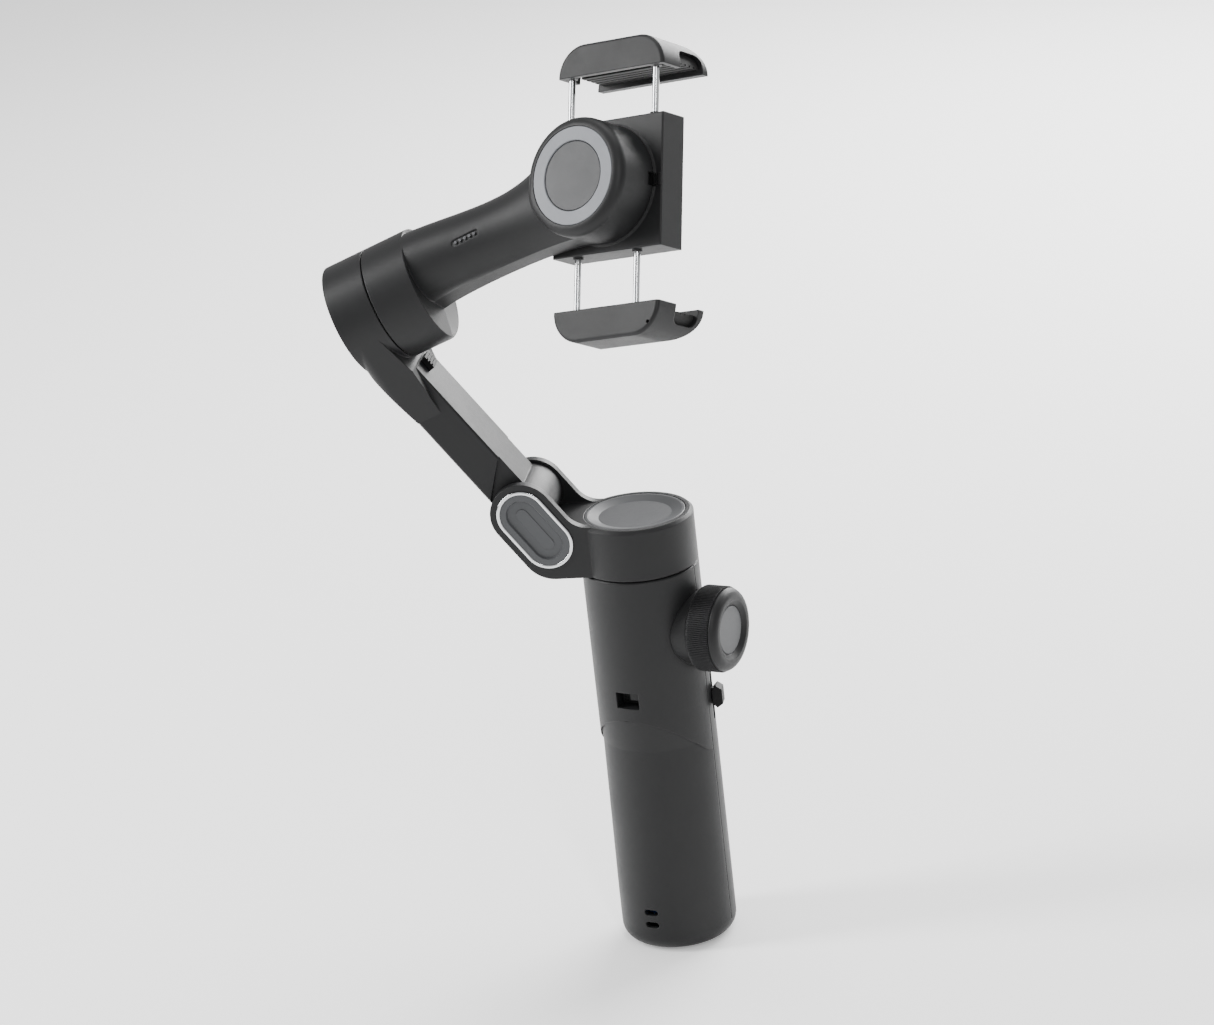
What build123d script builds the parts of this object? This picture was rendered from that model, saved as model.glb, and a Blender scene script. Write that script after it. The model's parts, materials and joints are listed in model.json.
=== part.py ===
from build123d import *
import math
import os

os.makedirs("parts", exist_ok=True)

# Three-axis folding camera gimbal for a phone, unfolded, with its jaws open to a phone's width.
# Millimetres and degrees. Z runs up the handle, the origin is where the pan axis leaves its bottom.
# +Y is the back of the handle, -Y its control side, and -X the side that carries the focus wheel.

# --- Driving dimensions -------------------------------------------------------------------------
seam_gap = 0.5             # gap between two housings that turn on each other
slide_gap = 0.3            # gap beside a part that slides or swings
running_fit = 0.05         # radial clearance of a shaft in its bush
wall = 1.8                 # housing wall

handle_radius = 17.3
handle_height = 119.2
bottom_round = 5.0
split_y = -0.8             # the plane where the two handle shells meet
grip_depth = 1.3           # how far the back of the grip is set in
grip_arch_centre = 57.7    # height of the centre of the round top of the grip's recess
grip_ramp_top = 75.0
grip_ramp_bottom = 65.0
grip_fade_bottom = 14.0
groove_width = 0.26
groove_depth = 0.4

pan_height = 15.5          # pan housing, from its bottom to its cap
fork_azimuth = 18.8        # where the fork points when the pan joint is at zero
hinge_reach = 31.2         # hinge pin from the pan axis
hinge_height = 140.0
ear_radius = 9.5
ear_outer = 12.2           # half the width over both ears
ear_inner = 9.4            # half the gap between them
cover_radius = 7.6
cover_length = 11.4        # between the centres of the cover's round ends

arm_lean = 36.0            # arm away from the handle's axis
arm_width = 18.2
arm_thickness = 11.3
motor_radius = 17.2        # housings of the two upper motors
tilt_reach = 64.8          # centre of the tilt motor's seam, from the pan axis
tilt_height = 203.7
tilt_elevation = 22.3      # tilt axis above the horizontal
cup_depth = 13.0           # rear half of the tilt motor's housing

clamp_position = (-8.1, 9.3, 238.5)   # centre of the clamp box's front face
roll_azimuth = 76.5
roll_elevation = 26.9
clamp_spin = 13.3          # clamp turned about the roll axis
box_width = 39.3
box_height = 38.5
box_depth = 9.7
phone_width = 71.5
phone_thickness = 7.7
phone_gap = 10.5           # from the clamp box's front face to the phone's back
jaw_width = 38.4
jaw_height = 9.4

wheel_height = 100.0       # focus wheel's axis above the bottom
wheel_radius = 12.8
wheel_start = 18.8         # back of the wheel, from the pan axis
wheel_end = 28.6

# --- Frames -------------------------------------------------------------------------------------


def aim(azimuth, elevation):
    """Unit vector at an azimuth from +X and an elevation above the XY plane."""
    level = math.cos(math.radians(elevation))
    across = level * math.cos(math.radians(azimuth))
    along = level * math.sin(math.radians(azimuth))
    return Vector(across, along, math.sin(math.radians(elevation)))


def turned(frame, angle):
    """The frame turned about its own z axis."""
    x_dir = frame.x_dir * math.cos(math.radians(angle)) + frame.y_dir * math.sin(math.radians(angle))
    return Plane(origin=frame.origin, x_dir=x_dir, z_dir=frame.z_dir)


outward = aim(fork_azimuth, 0)
hinge_axis = aim(fork_azimuth + 90, 0)

# The fork plane holds the pan axis, the arm and the tilt axis: local x is reach, local y is height.
fork_plane = Plane(origin=(0, 0, 0), x_dir=outward, z_dir=-hinge_axis)
hinge_point = fork_plane.from_local_coords(Vector(hinge_reach, hinge_height, 0))
hinge_frame = Plane(origin=hinge_point, x_dir=outward, z_dir=-hinge_axis)

# Along the arm: local x runs from the hinge to the tilt motor, local y to the arm's upper face.
arm_frame = turned(hinge_frame, 90 - arm_lean)

# The tilt frame's z axis is the tilt axis, pointing from the arm's cup towards the phone.
tilt_point = fork_plane.from_local_coords(Vector(tilt_reach, tilt_height, 0))
tilt_axis = aim(fork_azimuth + 180, tilt_elevation)
tilt_up = aim(fork_azimuth, 90 - tilt_elevation)
tilt_frame = Plane(origin=tilt_point, x_dir=tilt_up, z_dir=tilt_axis)

# The clamp frame lies on the box's front face, x along the phone and y up across it.
roll_axis = aim(roll_azimuth, roll_elevation)
level_frame = Plane(origin=clamp_position, x_dir=aim(roll_azimuth + 90, 0), z_dir=roll_axis)
clamp_frame = turned(level_frame, clamp_spin)

wheel_frame = Plane(origin=(0, 0, wheel_height), x_dir=(0, 1, 0), z_dir=(-1, 0, 0))


def side_plane(frame):
    """Plane through a frame's z axis, for half sections: local x is radius, local y is height."""
    return Plane(origin=frame.origin, x_dir=frame.x_dir, z_dir=-frame.y_dir)


def spin(frame):
    """The frame's z axis."""
    return Axis(frame.origin, frame.z_dir)


def half_section(frame, *corners):
    """Closed half section given by its corners (radius, height), placed in the frame."""
    with BuildSketch(side_plane(frame)) as section:
        with BuildLine():
            Polyline(*corners, close=True)
        make_face()
    return section.sketch


def tube_section(frame, inner, outer, bottom, top):
    """Half section of a plain ring or tube."""
    return half_section(frame, (inner, bottom), (outer, bottom), (outer, top), (inner, top))


def stadium(frame, length, radius):
    """Slot outline about the frame's origin, along its x axis."""
    with BuildSketch(frame) as outline:
        SlotCenterToCenter(length, 2 * radius)
    return outline.sketch


def block(frame, width, height):
    """Rectangle about the frame's origin."""
    with BuildSketch(frame) as outline:
        Rectangle(width, height)
    return outline.sketch


def disc(frame, radius):
    """Circle about the frame's origin."""
    with BuildSketch(frame) as outline:
        Circle(radius)
    return outline.sketch


def at_point(frame, across, along, height=0):
    """A copy of the frame moved along its own axes."""
    point = frame.from_local_coords(Vector(across, along, height))
    return Plane(origin=point, x_dir=frame.x_dir, z_dir=frame.z_dir)


def save(name, label):
    """Label one finished piece and write its STEP file."""
    name.part.label = label
    export_step(name.part, "parts/" + label + ".step")


# --- Motors -------------------------------------------------------------------------------------
# All three motors share one pattern. The frame's z axis points from the stator's seat to the rotor.
shaft_radius = 1.5
bearing_radius = 4.0
bearing_width = 3.0
stator_hub_radius = 5.2
stator_radius = 12.2
stator_height = 5.0
pole_count = 12
pole_width = 2.2
pole_tip_depth = 1.4
pole_slot = 1.0
magnet_inner = 12.6
bell_inner = 13.2
bell_radius = 14.6
bell_cap = 1.3


def stator_part(frame, seat, core_start):
    """Hub tube standing on its seat, with a wound core of radial poles."""
    core_end = core_start + stator_height
    with BuildPart() as stator:
        revolve(tube_section(frame, bearing_radius, stator_hub_radius, seat, core_end + 1), axis=spin(frame))
        revolve(tube_section(frame, stator_hub_radius, 6.6, core_start, core_end), axis=spin(frame))
        with BuildSketch(frame.offset(core_start)):
            with PolarLocations(0, pole_count):
                with Locations((stator_radius / 2 + 2.6, 0)):
                    Rectangle(stator_radius - 5.4, pole_width)
        extrude(amount=stator_height)
        with BuildSketch(frame.offset(core_start)):
            Circle(stator_radius)
            Circle(stator_radius - pole_tip_depth, mode=Mode.SUBTRACT)
            with PolarLocations(0, pole_count, start_angle=180 / pole_count):
                with Locations((stator_radius, 0)):
                    Rectangle(4 * pole_tip_depth, pole_slot, mode=Mode.SUBTRACT)
        extrude(amount=stator_height)
    return stator


def rotor_part(frame, skirt, cap_end):
    """Bell with its magnet ring: a skirt round the stator, closed by a cap on the rotor's side."""
    cap_start = cap_end - bell_cap
    with BuildPart() as rotor:
        revolve(tube_section(frame, bell_inner, bell_radius, skirt, cap_start), axis=spin(frame))
        revolve(tube_section(frame, shaft_radius, bell_radius, cap_start, cap_end), axis=spin(frame))
        revolve(tube_section(frame, magnet_inner, bell_inner, skirt + 0.6, cap_start - 0.6), axis=spin(frame))
    return rotor


def shaft_part(frame, start, end):
    """Shaft pressed into the bell."""
    with BuildPart() as shaft:
        revolve(tube_section(frame, 0, shaft_radius, start, end), axis=spin(frame))
    return shaft


def bearing_part(frame, *starts):
    """Ball bearings in the stator's hub, each a shielded ring round the shaft."""
    bore = shaft_radius + running_fit
    with BuildPart() as bearings:
        for start in starts:
            end = start + bearing_width
            revolve(tube_section(frame, bore, bearing_radius, start, end), axis=spin(frame))
    return bearings

# --- Handle -------------------------------------------------------------------------------------
pocket_width = 7.3
pocket_height = 5.0
pocket_z = 81.7
pocket_depth = 4.2
lanyard_width = 4.4
lanyard_height = 1.9
lanyard_z = (12.9, 8.9)
base_cap_radius = 11.0
plate_width = 20.0
plate_height = 50.0
plate_z = 77.0
plate_corner = 4.0
plate_gap = 0.15
usb_z = 15.0
usb_width = 9.2
usb_height = 3.5
slider_azimuth = 198.0
slider_z = 76.1
slider_travel = 3.5
slider_length = 7.0
slider_width = 4.0
slider_proud = 3.2
handle_core = handle_radius - wall
motor_floor_z = 106.0      # wall across the handle that carries the pan motor

slider_frame = Plane(
    origin=(0, 0, slider_z), x_dir=aim(slider_azimuth + 90, 0), z_dir=aim(slider_azimuth, 0)
)

# Grip core: the handle's round section, with its back moved in under the arch.
with BuildPart() as grip_core:
    with BuildSketch(Plane.XY.offset(-1)):
        Circle(handle_radius + 0.01)
    with BuildSketch(Plane.XY.offset(grip_fade_bottom)):
        Circle(handle_radius + 0.01)
    loft(ruled=True)
    with BuildSketch(Plane.XY.offset(grip_fade_bottom)):
        Circle(handle_radius + 0.01)
    with BuildSketch(Plane.XY.offset(grip_ramp_bottom)):
        with Locations((0, -grip_depth)):
            Circle(handle_radius + 0.01)
    loft(ruled=True)
    with BuildSketch(Plane.XY.offset(grip_ramp_bottom)):
        with Locations((0, -grip_depth)):
            Circle(handle_radius + 0.01)
    with BuildSketch(Plane.XY.offset(grip_ramp_top + 0.2)):
        Circle(handle_radius + 0.01)
    loft(ruled=True)

# Recess tool: an arch-topped prism over the back half, less the grip core.
with BuildPart() as grip_recess:
    with BuildSketch(Plane.XZ.offset(-split_y)):
        with Locations((0, grip_arch_centre / 2 - 2)):
            Rectangle(2 * handle_radius + 1, grip_arch_centre + 4)
        with Locations((0, grip_arch_centre)):
            Circle(handle_radius + 0.3)
    extrude(amount=-30)
    add(grip_core.part, mode=Mode.SUBTRACT)

# Fine groove round the handle where the two shells meet.
with BuildPart() as seam_groove:
    with BuildSketch(Plane.XY.offset(bottom_round)):
        with Locations((0, split_y)):
            Rectangle(2 * handle_radius + 2, groove_width)
        Circle(handle_radius - groove_depth, mode=Mode.SUBTRACT)
    extrude(amount=handle_height)

# The whole handle tube with its bottom, before it is parted into two shells.
with BuildPart() as handle_tube:
    with BuildSketch(Plane.XY):
        Circle(handle_radius)
    extrude(amount=handle_height)
    fillet(handle_tube.edges().group_by(Axis.Z)[0], bottom_round)
    chamfer(handle_tube.edges().group_by(Axis.Z)[-1], 0.4)
    with BuildSketch(Plane.XY.offset(3.0)):
        Circle(handle_core)
    extrude(amount=motor_floor_z - 3.0 - 2.0, mode=Mode.SUBTRACT)
    with BuildSketch(Plane.XY.offset(motor_floor_z)):
        Circle(handle_core)
    extrude(amount=handle_height - motor_floor_z, mode=Mode.SUBTRACT)
    with BuildSketch(Plane.XY.offset(motor_floor_z - 2.0)):
        Circle(bearing_radius)
    extrude(amount=2.0, mode=Mode.SUBTRACT)
    with BuildSketch(Plane.XY):
        Circle(base_cap_radius)
    extrude(amount=3.0, mode=Mode.SUBTRACT)
    add(grip_recess.part, mode=Mode.SUBTRACT)
    add(seam_groove.part, mode=Mode.SUBTRACT)
    # pocket in the back, and the two lanyard slots under it
    with BuildSketch(Plane.XZ.offset(-handle_radius - 1)):
        with Locations((0, pocket_z)):
            Rectangle(pocket_width, pocket_height)
        for slot_z in lanyard_z:
            with Locations((0, slot_z)):
                SlotOverall(lanyard_width, lanyard_height)
    extrude(amount=pocket_depth + 1, mode=Mode.SUBTRACT)
    # round seat for the wheel's boss
    with BuildSketch(wheel_frame):
        Circle(8.0)
    extrude(amount=handle_radius + 1, mode=Mode.SUBTRACT)
    # slot for the zoom slider
    with BuildSketch(slider_frame):
        SlotOverall(slider_length + 2 * slider_travel + 1.6, 2.2, rotation=90)
    extrude(amount=handle_radius + 1, mode=Mode.SUBTRACT)
    # opening for the control plate
    with BuildSketch(Plane.XZ):
        with Locations((0, plate_z)):
            RectangleRounded(plate_width, plate_height, plate_corner)
    extrude(amount=handle_radius + 1, mode=Mode.SUBTRACT)
    # charging socket in the front
    with BuildSketch(Plane.XZ):
        with Locations((0, usb_z)):
            SlotOverall(usb_width, usb_height)
    extrude(amount=handle_radius + 1, mode=Mode.SUBTRACT)

with BuildPart() as grip_back_shell:
    add(handle_tube.part)
    split(bisect_by=Plane.XZ.offset(-split_y), keep=Keep.BOTTOM)
    # blind pocket behind the window, with the catch it holds
    with BuildSketch(Plane.XZ.offset(-handle_core - 0.2)):
        with Locations((0, pocket_z)):
            Rectangle(pocket_width + 2.4, pocket_height + 2.4)
            Rectangle(pocket_width, pocket_height, mode=Mode.SUBTRACT)
    extrude(amount=pocket_depth)
    with BuildSketch(Plane.XZ.offset(-handle_core + pocket_depth - 1.0)):
        with Locations((0, pocket_z)):
            Rectangle(pocket_width + 2.4, pocket_height + 2.4)
    extrude(amount=1.2)
    with BuildSketch(Plane.XZ.offset(-handle_radius + 2.2)):
        with Locations((-pocket_width / 4, pocket_z + pocket_height / 5)):
            Rectangle(pocket_width / 2, pocket_height * 0.6)
    extrude(amount=pocket_depth - 1.4)
save(grip_back_shell, "grip_back_shell")

with BuildPart() as grip_front_shell:
    add(handle_tube.part)
    split(bisect_by=Plane.XZ.offset(-split_y), keep=Keep.TOP)
save(grip_front_shell, "grip_front_shell")

# Control plate: a patch of the handle's round surface with a flange behind the shell.
stick_z = 90.0
stick_hole = 4.2
record_z = 75.0
record_radius = 4.2
mode_z = 65.0
mode_radius = 3.0
power_z = 57.0
power_radius = 2.4
button_gap = 0.15
flange_lap = 1.2

with BuildPart() as control_plate:
    with BuildSketch(Plane.XZ):
        with Locations((0, plate_z)):
            RectangleRounded(plate_width - 2 * plate_gap, plate_height - 2 * plate_gap, plate_corner)
    extrude(amount=handle_radius)
    with BuildSketch(Plane.XY):
        Circle(handle_radius)
    extrude(amount=handle_height, mode=Mode.INTERSECT)
    with BuildSketch(Plane.XY):
        Circle(handle_core)
    extrude(amount=handle_height, mode=Mode.SUBTRACT)
with BuildPart() as plate_flange:
    with BuildSketch(Plane.XZ):
        with Locations((0, plate_z)):
            RectangleRounded(plate_width + 2 * flange_lap, plate_height + 2 * flange_lap, plate_corner)
    extrude(amount=handle_radius)
    with BuildSketch(Plane.XY):
        Circle(handle_core)
    extrude(amount=handle_height, mode=Mode.INTERSECT)
    with BuildSketch(Plane.XY):
        Circle(handle_core - 1.2)
    extrude(amount=handle_height, mode=Mode.SUBTRACT)
with BuildPart() as control_panel:
    add(control_plate.part)
    add(plate_flange.part)
    with BuildSketch(Plane.XZ):
        with Locations((0, stick_z)):
            Circle(stick_hole)
        with Locations((0, record_z)):
            Circle(record_radius + button_gap)
        with Locations((0, mode_z)):
            Circle(mode_radius + button_gap)
        with Locations((0, power_z)):
            Circle(power_radius + button_gap)
    extrude(amount=handle_radius + 1, mode=Mode.SUBTRACT)
save(control_panel, "control_panel")

# Buttons: a domed cap on a stem, with a rim that keeps it behind the plate.
for button_label, button_z, button_radius, button_proud in (
    ("record_button", record_z, record_radius, 0.9),
    ("mode_button", mode_z, mode_radius, 0.7),
    ("power_button", power_z, power_radius, 0.3),
):
    button_frame = Plane(origin=(0, 0, button_z), x_dir=(1, 0, 0), z_dir=(0, -1, 0))
    button_top = handle_radius + button_proud
    rim_top = handle_core - 2.5
    with BuildPart() as button:
        revolve(
            half_section(
                button_frame,
                (0, rim_top - 1.0),
                (button_radius + 0.8, rim_top - 1.0),
                (button_radius + 0.8, rim_top),
                (button_radius, rim_top),
                (button_radius, button_top - 0.4),
                (button_radius - 0.5, button_top),
                (0, button_top),
            ),
            axis=spin(button_frame),
        )
    save(button, button_label)

# Joystick: the stick hangs in a yoke, and the yoke in a cup, on two crossed axes.
stick_pivot = 11.9
stick_cap_start = handle_radius + 1.6 - stick_pivot
stick_frame = Plane(origin=(0, -stick_pivot, stick_z), x_dir=(1, 0, 0), z_dir=(0, -1, 0))
stick_cap_radius = 5.5
yoke_inner = 2.1
yoke_outer = 3.3
trunnion_radius = 0.8
cup_inner = 4.0

with BuildPart() as joystick_cup:
    revolve(tube_section(stick_frame, cup_inner, cup_inner + 1.6, -2.6, 1.1), axis=spin(stick_frame))
    revolve(tube_section(stick_frame, 0, cup_inner + 1.6, -3.8, -2.6), axis=spin(stick_frame))
    with BuildSketch(Plane.YZ.offset(-cup_inner - 2)):
        with Locations((-stick_pivot, stick_z)):
            Circle(trunnion_radius + running_fit)
    extrude(amount=2 * cup_inner + 4, mode=Mode.SUBTRACT)
save(joystick_cup, "joystick_cup")

with BuildPart() as joystick_yoke:
    revolve(tube_section(stick_frame, yoke_inner, yoke_outer, -1.2, 1.2), axis=spin(stick_frame))
    for side in (-1, 1):
        yoke_pin = Plane(origin=(side * 2.6, -stick_pivot, stick_z), x_dir=(0, 1, 0), z_dir=(side, 0, 0))
        with BuildSketch(yoke_pin):
            Circle(trunnion_radius)
        extrude(amount=cup_inner - 1.6)
    with BuildSketch(Plane.XY.offset(stick_z - 5)):
        with Locations((0, -stick_pivot)):
            Circle(0.7 + running_fit)
    extrude(amount=10, mode=Mode.SUBTRACT)
save(joystick_yoke, "joystick_yoke")

with BuildPart() as joystick:
    revolve(
        half_section(
            stick_frame,
            (0, -1.0),
            (1.3, -1.0),
            (1.3, stick_cap_start),
            (stick_cap_radius - 0.4, stick_cap_start),
            (stick_cap_radius, stick_cap_start + 0.5),
            (stick_cap_radius, stick_cap_start + 1.6),
            (stick_cap_radius - 1.0, stick_cap_start + 2.6),
            (stick_cap_radius - 2.4, stick_cap_start + 2.6),
            (1.0, stick_cap_start + 2.1),
            (0, stick_cap_start + 2.1),
        ),
        axis=spin(stick_frame),
    )
    with BuildSketch(Plane.XY.offset(stick_z - yoke_outer)):
        with Locations((0, -stick_pivot)):
            Circle(0.7)
    extrude(amount=2 * yoke_outer)
save(joystick, "joystick")

# Zoom slider: a six-sided thumb piece on a stem that runs in the shell's slot.
with BuildPart() as zoom_slider:
    with BuildSketch(Plane(origin=slider_frame.origin, x_dir=slider_frame.z_dir, z_dir=-slider_frame.x_dir)):
        with BuildLine():
            Polyline(
                (handle_radius + 0.2, -slider_length / 2 + 1.3),
                (handle_radius + 1.5, -slider_length / 2),
                (handle_radius + slider_proud, -slider_length / 2 + 1.2),
                (handle_radius + slider_proud, slider_length / 2 - 1.2),
                (handle_radius + 1.5, slider_length / 2),
                (handle_radius + 0.2, slider_length / 2 - 1.3),
                close=True,
            )
        make_face()
    extrude(amount=slider_width / 2, both=True)
    extrude(block(slider_frame.offset(handle_core - 1.4), 1.8, slider_length - 2), amount=3.6)
    extrude(block(slider_frame.offset(handle_core - 2.6), slider_width, slider_length), amount=1.6)
save(zoom_slider, "zoom_slider")

# Focus wheel: boss on the handle, shaft, knurled grip, front rim and recessed cap.
boss_radius = 11.2
boss_end = 18.3
wheel_shaft_radius = 2.0
cap_radius = 7.2
cap_face = 27.6

boss_bore = wheel_shaft_radius + running_fit
with BuildPart() as wheel_boss:
    revolve(tube_section(wheel_frame, boss_bore, boss_radius, 9, boss_end), axis=spin(wheel_frame))
    with BuildSketch(Plane.XY.offset(wheel_height - 20)):
        Circle(handle_radius)
    extrude(amount=40, mode=Mode.SUBTRACT)
    revolve(tube_section(wheel_frame, boss_bore, 7.9, 13, 17.8), axis=spin(wheel_frame))
save(wheel_boss, "wheel_boss")

with BuildPart() as wheel_shaft:
    revolve(tube_section(wheel_frame, 0, wheel_shaft_radius, 8, 26), axis=spin(wheel_frame))
    revolve(tube_section(wheel_frame, wheel_shaft_radius, 4.2, 10.6, 12.6), axis=spin(wheel_frame))
save(wheel_shaft, "wheel_shaft")

with BuildPart() as wheel_grip:
    revolve(
        half_section(
            wheel_frame,
            (wheel_shaft_radius, wheel_start),
            (wheel_radius - 0.7, wheel_start),
            (wheel_radius, wheel_start + 0.9),
            (wheel_radius, 26.2),
            (wheel_radius - 0.6, 26.2),
            (wheel_shaft_radius, 26.2),
        ),
        axis=spin(wheel_frame),
    )
save(wheel_grip, "wheel_grip")

with BuildPart() as wheel_rim:
    with BuildSketch(side_plane(wheel_frame)):
        with BuildLine():
            Line((cap_radius + 0.1, 26.3), (wheel_radius - 0.5, 26.3))
            Line((wheel_radius - 0.5, 26.3), (wheel_radius - 0.4, 26.7))
            ThreePointArc((wheel_radius - 0.4, 26.7), (wheel_radius - 1.3, 28.0), (9.4, wheel_end))
            Line((9.4, wheel_end), (8.9, wheel_end))
            Line((8.9, wheel_end), (cap_radius + 0.1, cap_face - 0.1))
            Line((cap_radius + 0.1, cap_face - 0.1), (cap_radius + 0.1, 26.3))
        make_face()
    revolve(axis=spin(wheel_frame))
save(wheel_rim, "wheel_rim")

with BuildPart() as wheel_cap:
    revolve(tube_section(wheel_frame, 0, cap_radius, 26.3, cap_face), axis=spin(wheel_frame))
    fillet(wheel_cap.edges().sort_by(Axis.X)[0], 0.25)
save(wheel_cap, "wheel_cap")

# Base cap with the tripod thread's insert, held by two screws.
thread_radius = 2.55
insert_radius = 4.6
insert_length = 9.0
screw_reach = 7.8
screw_head = 1.7
screw_body = 0.9

with BuildPart() as base_cap:
    revolve(tube_section(Plane.XY, insert_radius, base_cap_radius - 0.15, 0, 2.98), axis=Axis.Z)
    with Locations((0, 0, 0)):
        with PolarLocations(screw_reach, 2):
            Hole(screw_body + 0.1)
    with BuildSketch(Plane.XY):
        with PolarLocations(screw_reach, 2):
            Circle(screw_head + 0.15)
    extrude(amount=1.4, mode=Mode.SUBTRACT)
save(base_cap, "base_cap")

with BuildPart() as tripod_insert:
    revolve(tube_section(Plane.XY, thread_radius, insert_radius, 0, insert_length), axis=Axis.Z)
    revolve(tube_section(Plane.XY, insert_radius, insert_radius + 3.5, 3.0, 5.0), axis=Axis.Z)
    with BuildSketch(Plane.XY.offset(3.0)):
        with PolarLocations(screw_reach, 2):
            Circle(screw_body)
    extrude(amount=2, mode=Mode.SUBTRACT)
save(tripod_insert, "tripod_insert")

with BuildPart() as base_screws:
    with BuildSketch(Plane.XY.offset(0.3)):
        with PolarLocations(screw_reach, 2):
            Circle(screw_head)
    extrude(amount=1.1)
    with BuildSketch(Plane.XY.offset(0.3)):
        with PolarLocations(screw_reach, 2):
            Circle(screw_body)
    extrude(amount=5.5)
    with BuildSketch(Plane.XY.offset(0.3)):
        with PolarLocations(screw_reach, 2):
            RegularPolygon(0.7, 6)
    extrude(amount=0.7, mode=Mode.SUBTRACT)
save(base_screws, "base_screws")

# Battery, main board and charging socket.
battery_radius = 9.1
battery_start = 10.5
battery_length = 65.0
board_width = 20.0
board_start = 12.0
board_length = 86.0
board_y = -10.6            # the board's inner face

with BuildPart() as battery:
    with BuildSketch(Plane.XY.offset(battery_start)):
        with Locations((0, 4.0)):
            Circle(battery_radius)
    extrude(amount=battery_length)
    chamfer(battery.edges(), 0.5)
    with BuildSketch(Plane.XY.offset(battery_start + battery_length)):
        with Locations((0, 4.0)):
            Circle(2.8)
    extrude(amount=0.9)
save(battery, "battery")

with BuildPart() as main_board:
    with BuildSketch(Plane.XZ.offset(-board_y - 4.0)):
        with Locations((0, board_start + board_length / 2)):
            Rectangle(board_width, board_length)
    extrude(amount=1.0)
    with BuildSketch(Plane.XZ.offset(-board_y - 3.0)):
        for chip_z in (32, 44, 56):
            with Locations((0, chip_z)):
                Rectangle(6, 6)
    extrude(amount=1.0)
save(main_board, "main_board")

with BuildPart() as usb_socket:
    with BuildSketch(Plane.XZ.offset(-board_y - 3.0)):
        with Locations((0, usb_z)):
            SlotOverall(usb_width - 0.3, usb_height - 0.3)
    extrude(amount=8.6)
    with BuildSketch(Plane.XZ.offset(10.0)):
        with Locations((0, usb_z)):
            SlotOverall(usb_width - 1.1, usb_height - 1.1)
    extrude(amount=7.0, mode=Mode.SUBTRACT)
    with BuildSketch(Plane.XZ.offset(10.0)):
        with Locations((0, usb_z)):
            Rectangle(5.6, 0.7)
    extrude(amount=5.4)
save(usb_socket, "usb_socket")

# --- Pan motor and fork -------------------------------------------------------------------------
pan_base = handle_height + seam_gap
pan_top = pan_base + pan_height
pan_cap_radius = 15.0
pan_cap_thickness = 1.6
dish_radius = 10.8
dish_edge_radius = 14.0
dish_depth = 0.9
slot_wall = 24.6           # the fork's inner wall between the ears
barrel_radius = 8.6
pin_radius = 2.5
bush_radius = 3.6
bush_flange = 4.8
cover_depth = 1.4
cover_proud = 0.5
rim_width = 1.1
stator_seat_z = motor_floor_z - 2.0

pan_motor = Plane.XY.offset(stator_seat_z)
pan_stator = stator_part(pan_motor, 2.0, 7.0)
save(pan_stator, "pan_stator")
pan_bearings = bearing_part(pan_motor, 0.4, 9.6)
save(pan_bearings, "pan_bearings")
pan_rotor_top = pan_top - pan_cap_thickness - 0.8 - stator_seat_z
pan_rotor = rotor_part(pan_motor, pan_base - stator_seat_z + 0.3, pan_rotor_top)
save(pan_rotor, "pan_rotor")
pan_shaft = shaft_part(pan_motor, 0.2, pan_rotor_top + 0.6)
save(pan_shaft, "pan_shaft")

# The arm side of the fork: two ears along the arm's direction, run down into the housing.
lean = math.radians(arm_lean)
along_arm = Vector(math.sin(lean), math.cos(lean), 0)
across_arm = Vector(math.cos(lean), -math.sin(lean), 0)
pin_centre = Vector(hinge_reach, hinge_height, 0)
upper_tangent = pin_centre - across_arm * ear_radius
lower_tangent = pin_centre + across_arm * ear_radius
upper_run = (upper_tangent.Y - pan_top) / along_arm.Y
lower_run = (lower_tangent.Y - pan_base) / along_arm.Y
upper_foot = upper_tangent - along_arm * upper_run
lower_foot = lower_tangent - along_arm * lower_run

with BuildPart() as ear_block:
    with BuildSketch(fork_plane) as ear_outline:
        with BuildLine():
            Polyline(
                (0, pan_base),
                (lower_foot.X, lower_foot.Y),
                (lower_tangent.X, lower_tangent.Y),
                (pin_centre.X, pin_centre.Y),
                (upper_tangent.X, upper_tangent.Y),
                (upper_foot.X, upper_foot.Y),
                (0, pan_top),
                close=True,
            )
        make_face()
        fillet(ear_outline.vertices().sort_by_distance(Vector(lower_foot.X, lower_foot.Y))[0], 10)
        fillet(ear_outline.vertices().sort_by_distance(Vector(upper_foot.X, upper_foot.Y))[0], 8)
        with Locations((hinge_reach, hinge_height)):
            Circle(ear_radius)
    extrude(amount=ear_outer, both=True)

# Clear space between the ears for the barrel and the arm's swing.
with BuildPart() as ear_slot:
    with BuildSketch(fork_plane):
        with Locations((hinge_reach, hinge_height)):
            Circle(barrel_radius + slide_gap)
        with BuildLine():
            Polyline(
                (slot_wall, pan_base - 2),
                (hinge_reach + 2 * ear_radius, pan_base - 2),
                (hinge_reach + 2 * ear_radius, hinge_height + 2 * ear_radius),
                (0, hinge_height + 2 * ear_radius),
                (0, pan_top),
                (slot_wall, pan_top),
                close=True,
            )
        make_face()
    extrude(amount=ear_inner, both=True)

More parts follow.
